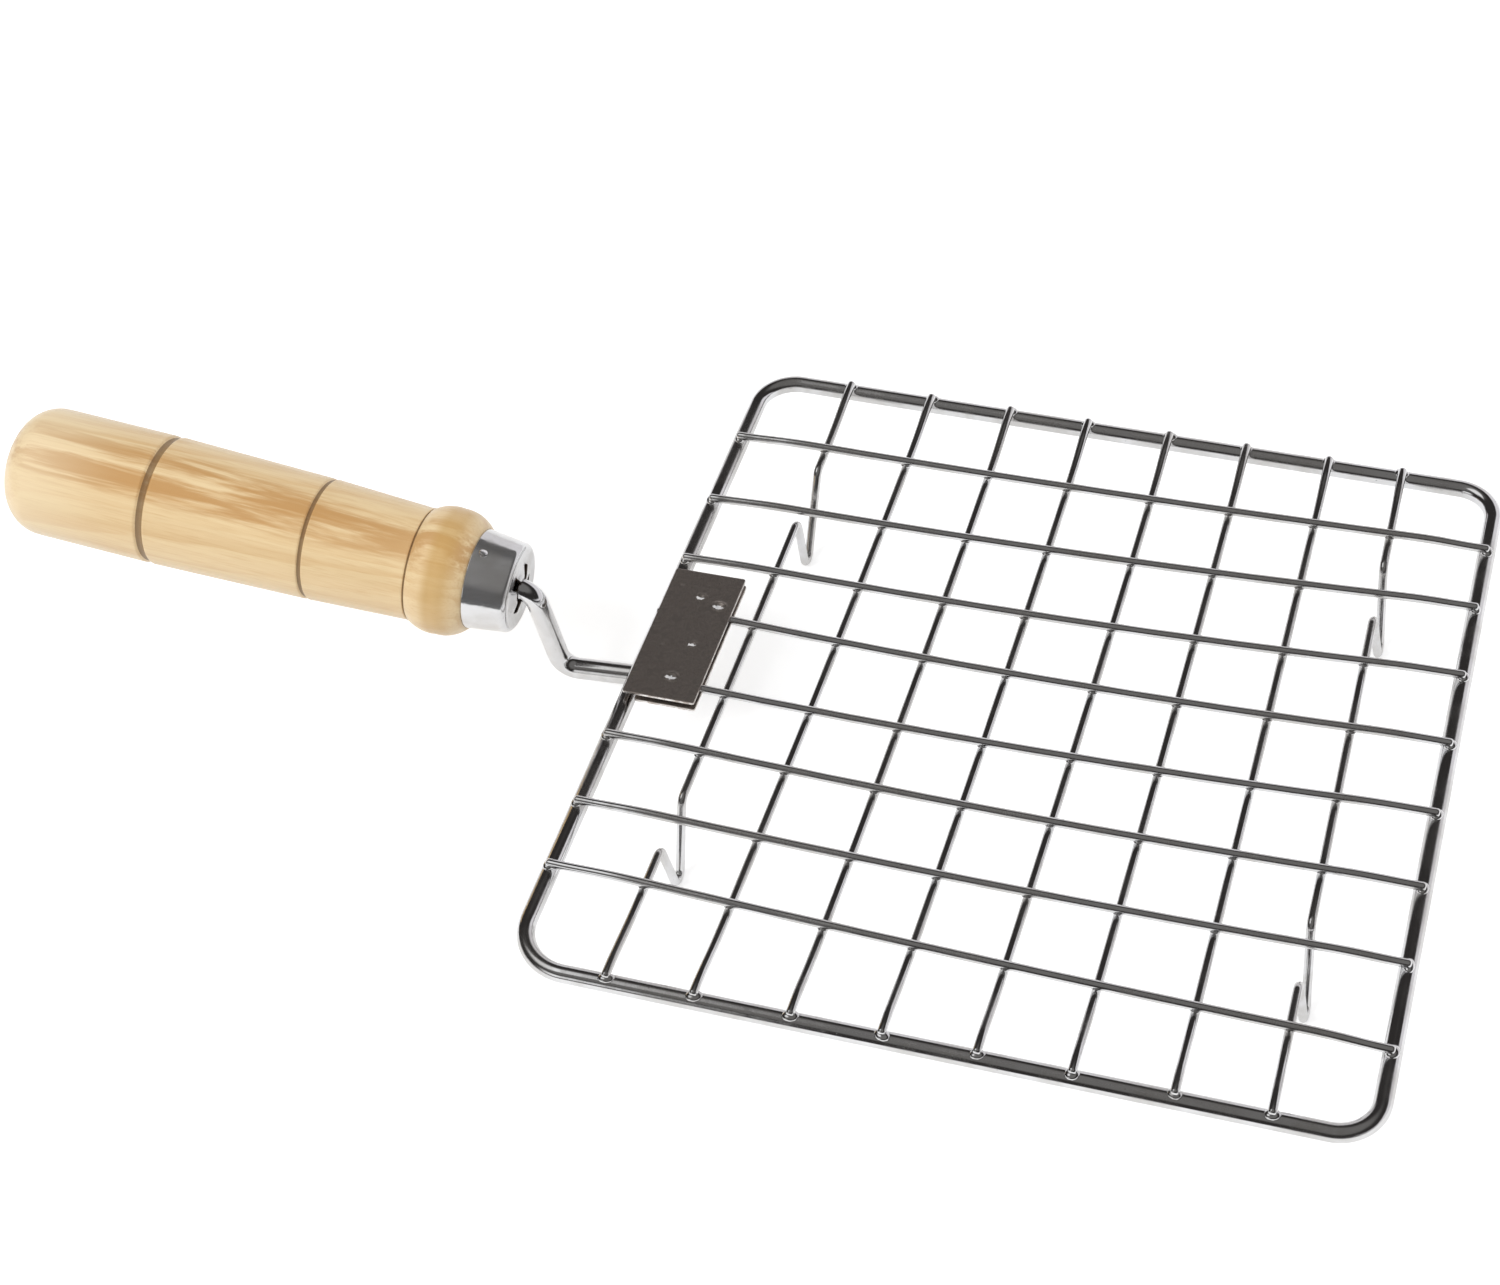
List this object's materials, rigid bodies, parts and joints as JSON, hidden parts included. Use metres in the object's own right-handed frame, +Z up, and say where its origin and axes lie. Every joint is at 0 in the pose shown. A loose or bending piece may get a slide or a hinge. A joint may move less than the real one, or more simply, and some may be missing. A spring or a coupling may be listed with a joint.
{
  "type": "papad roasting grill",
  "caption": "Square wire-mesh hob grill with a rounded wire frame, bent wire feet, a cranked rod and a turned wooden handle, for roasting papad over a flame.",
  "frame": {"origin": "on the surface that the four feet stand on, under the middle of the ring", "axes": "+X points away from the handle, +Y is the far side seen with the handle at the left, +Z is up"},
  "size_m": [0.3313, 0.1867, 0.0633],
  "materials": {
    "frame_wire": "bright plated wire",
    "mesh_wire": "bright plated wire",
    "rod_steel": "bright plated rod",
    "plate_steel": "dull plated sheet, mottled",
    "ferrule_plating": "bright plated thin sheet",
    "nail_steel": "bright nail",
    "grip_wood": "clear-varnished pale wood"
  },
  "bodies": {
    "root": {"frame_ring": "frame_wire", "cross_wire_1": "mesh_wire", "cross_wire_2": "mesh_wire", "cross_wire_3": "mesh_wire", "cross_wire_4": "mesh_wire", "cross_wire_5": "mesh_wire", "cross_wire_6": "mesh_wire", "cross_wire_7": "mesh_wire", "cross_wire_8": "mesh_wire", "down_wire_2": "mesh_wire", "down_wire_3": "mesh_wire", "down_wire_4": "mesh_wire", "down_wire_5": "mesh_wire", "down_wire_6": "mesh_wire", "down_wire_7": "mesh_wire", "leg_wire_left": "mesh_wire", "leg_wire_right": "mesh_wire", "handle_plate_top": "plate_steel", "handle_plate_bottom": "plate_steel", "handle_rod": "rod_steel", "ferrule": "ferrule_plating", "ferrule_nail": "nail_steel", "handle_grip": "grip_wood"}
  },
  "joints": []
}
